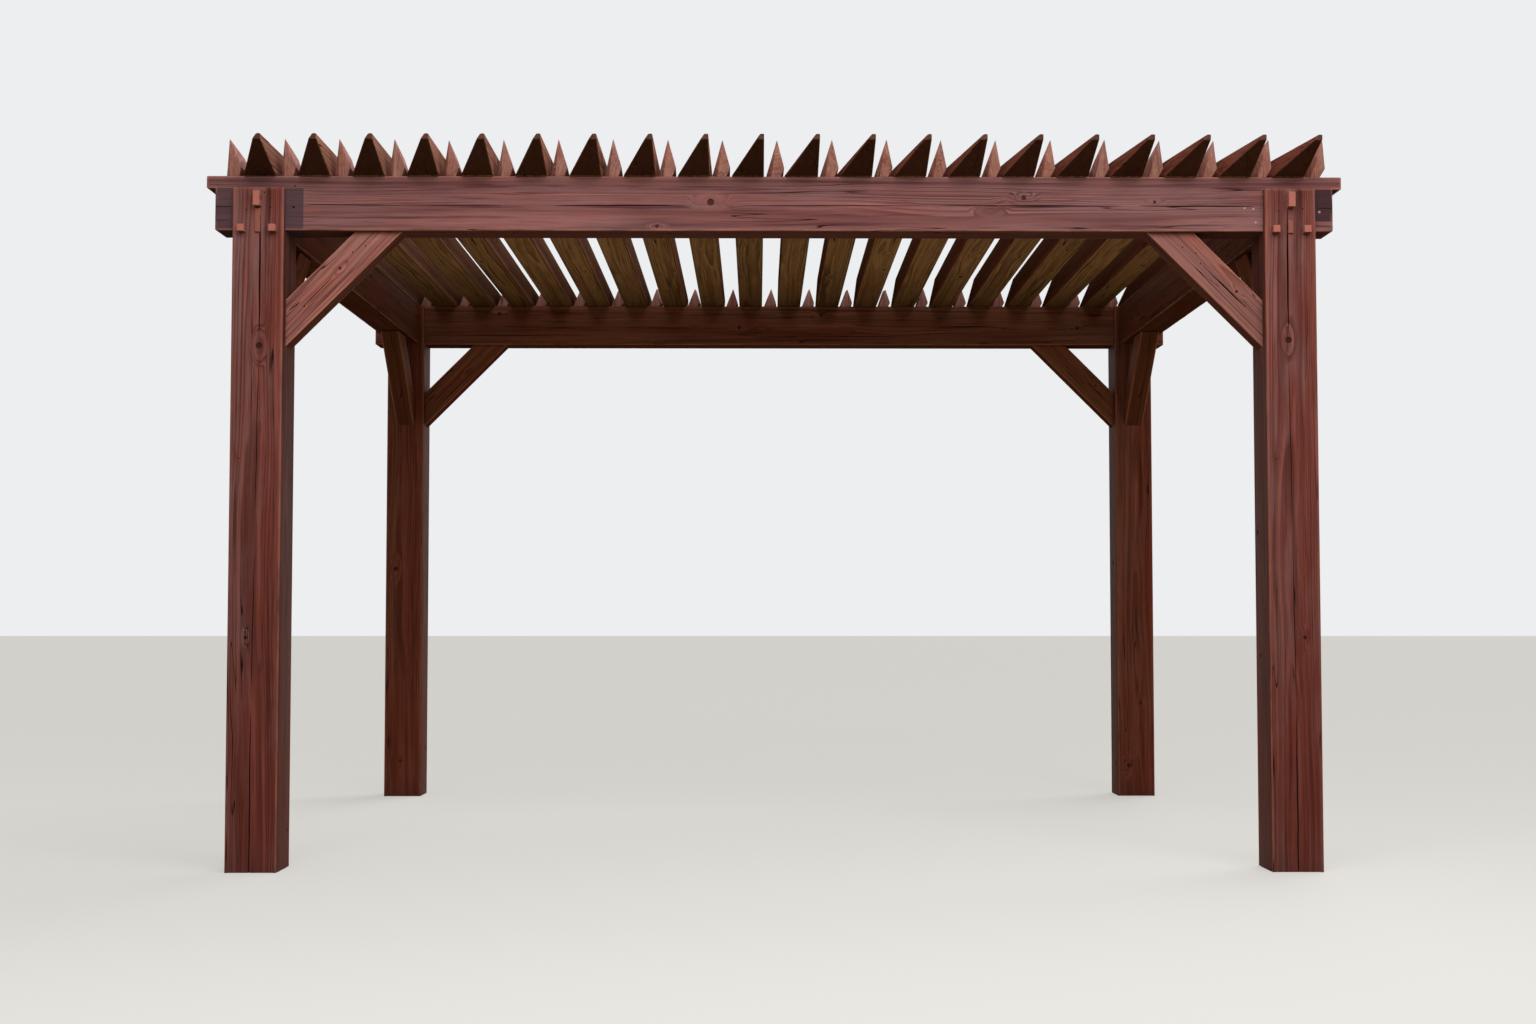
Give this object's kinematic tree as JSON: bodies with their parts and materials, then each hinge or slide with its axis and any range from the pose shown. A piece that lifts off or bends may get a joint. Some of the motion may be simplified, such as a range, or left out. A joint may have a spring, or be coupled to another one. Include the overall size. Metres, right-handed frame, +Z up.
{
  "type": "wooden pergola",
  "caption": "Open timber pergola: square posts, slotted post heads with keys and pegs, knee braces, and rafters with pointed tails above long beams.",
  "frame": {"origin": "on the ground, in the middle of the plan", "axes": "+X to the right along the front beam, +Y from front to rear, +Z up"},
  "size_m": [4.24, 3.44, 2.704],
  "materials": {
    "post_timber": "red-brown stain, satin",
    "beam_timber": "red-brown stain, satin",
    "brace_timber": "red-brown stain, satin",
    "rafter_timber": "dark stain, matt",
    "peg_timber": "bare reddish hardwood",
    "spacer_timber": "worn stain, pale end grain"
  },
  "bodies": {
    "root": {"beam_front": "beam_timber", "beam_left": "beam_timber", "beam_rear": "beam_timber", "beam_right": "beam_timber", "brace_front_left": "brace_timber", "brace_front_right": "brace_timber", "brace_left_front": "brace_timber", "brace_left_rear": "brace_timber", "brace_rear_left": "brace_timber", "brace_rear_right": "brace_timber", "brace_right_front": "brace_timber", "brace_right_rear": "brace_timber", "pegs_front_left": "peg_timber", "pegs_front_right": "peg_timber", "pegs_rear_left": "peg_timber", "pegs_rear_right": "peg_timber", "post_front_left": "post_timber", "post_front_right": "post_timber", "post_rear_left": "post_timber", "post_rear_right": "post_timber", "rafter_01": "rafter_timber", "rafter_02": "rafter_timber", "rafter_03": "rafter_timber", "rafter_04": "rafter_timber", "rafter_05": "rafter_timber", "rafter_06": "rafter_timber", "rafter_07": "rafter_timber", "rafter_08": "rafter_timber", "rafter_09": "rafter_timber", "rafter_10": "rafter_timber", "rafter_11": "rafter_timber", "rafter_12": "rafter_timber", "rafter_13": "rafter_timber", "rafter_14": "rafter_timber", "rafter_15": "rafter_timber", "rafter_16": "rafter_timber", "rafter_17": "rafter_timber", "rafter_18": "rafter_timber", "rafter_19": "rafter_timber", "rafter_20": "rafter_timber", "spacers_front": "spacer_timber", "spacers_rear": "spacer_timber"}
  },
  "joints": []
}
